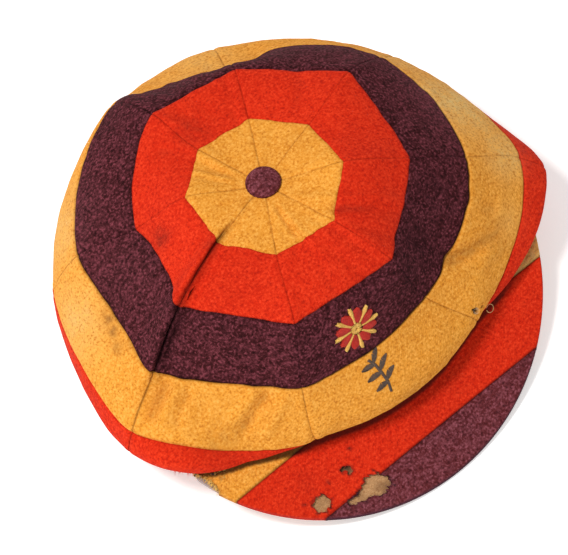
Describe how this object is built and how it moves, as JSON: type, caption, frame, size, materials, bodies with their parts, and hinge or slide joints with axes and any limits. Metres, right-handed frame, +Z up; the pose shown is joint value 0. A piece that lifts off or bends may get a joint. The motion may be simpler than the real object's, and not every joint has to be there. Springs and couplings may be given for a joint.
{
  "type": "cricket cap",
  "caption": "Soft hooped cricket cap with a baggy crown of eight gores, a button on top and a short stiff peak in three stripes.",
  "frame": {"origin": "on the surface that the cap lies on, under the middle of its bounding box", "axes": "+Z up; the peak points along -Y and the back of the crown along +Y; +X is the wearer's left"},
  "size_m": [0.2258, 0.2238, 0.0957],
  "materials": {
    "yellow_wool": "matt wool flannel",
    "red_wool": "matt wool flannel",
    "purple_wool": "matt wool flannel",
    "board": "rough tan board"
  },
  "bodies": {
    "root": {"front_gore_1_yellow": "yellow_wool", "front_gore_2_red": "red_wool", "front_gore_3_purple": "purple_wool", "front_gore_4_yellow": "yellow_wool", "front_gore_5_red": "red_wool", "front_right_gore_1_yellow": "yellow_wool", "front_right_gore_2_red": "red_wool", "front_right_gore_3_purple": "purple_wool", "front_right_gore_4_yellow": "yellow_wool", "front_right_gore_5_red": "red_wool", "right_gore_1_yellow": "yellow_wool", "right_gore_2_red": "red_wool", "right_gore_3_purple": "purple_wool", "right_gore_4_yellow": "yellow_wool", "right_gore_5_red": "red_wool", "back_right_gore_1_yellow": "yellow_wool", "back_right_gore_2_red": "red_wool", "back_right_gore_3_purple": "purple_wool", "back_right_gore_4_yellow": "yellow_wool", "back_right_gore_5_red": "red_wool", "back_gore_1_yellow": "yellow_wool", "back_gore_2_red": "red_wool", "back_gore_3_purple": "purple_wool", "back_gore_4_yellow": "yellow_wool", "back_gore_5_red": "red_wool", "back_left_gore_1_yellow": "yellow_wool", "back_left_gore_2_red": "red_wool", "back_left_gore_3_purple": "purple_wool", "back_left_gore_4_yellow": "yellow_wool", "back_left_gore_5_red": "red_wool", "left_gore_1_yellow": "yellow_wool", "left_gore_2_red": "red_wool", "left_gore_3_purple": "purple_wool", "left_gore_4_yellow": "yellow_wool", "left_gore_5_red": "red_wool", "front_left_gore_1_yellow": "yellow_wool", "front_left_gore_2_red": "red_wool", "front_left_gore_3_purple": "purple_wool", "front_left_gore_4_yellow": "yellow_wool", "front_left_gore_5_red": "red_wool", "button": "purple_wool", "peak_board": "board", "peak_stripe_purple": "purple_wool", "peak_stripe_red": "red_wool", "peak_stripe_yellow": "yellow_wool"}
  },
  "joints": []
}
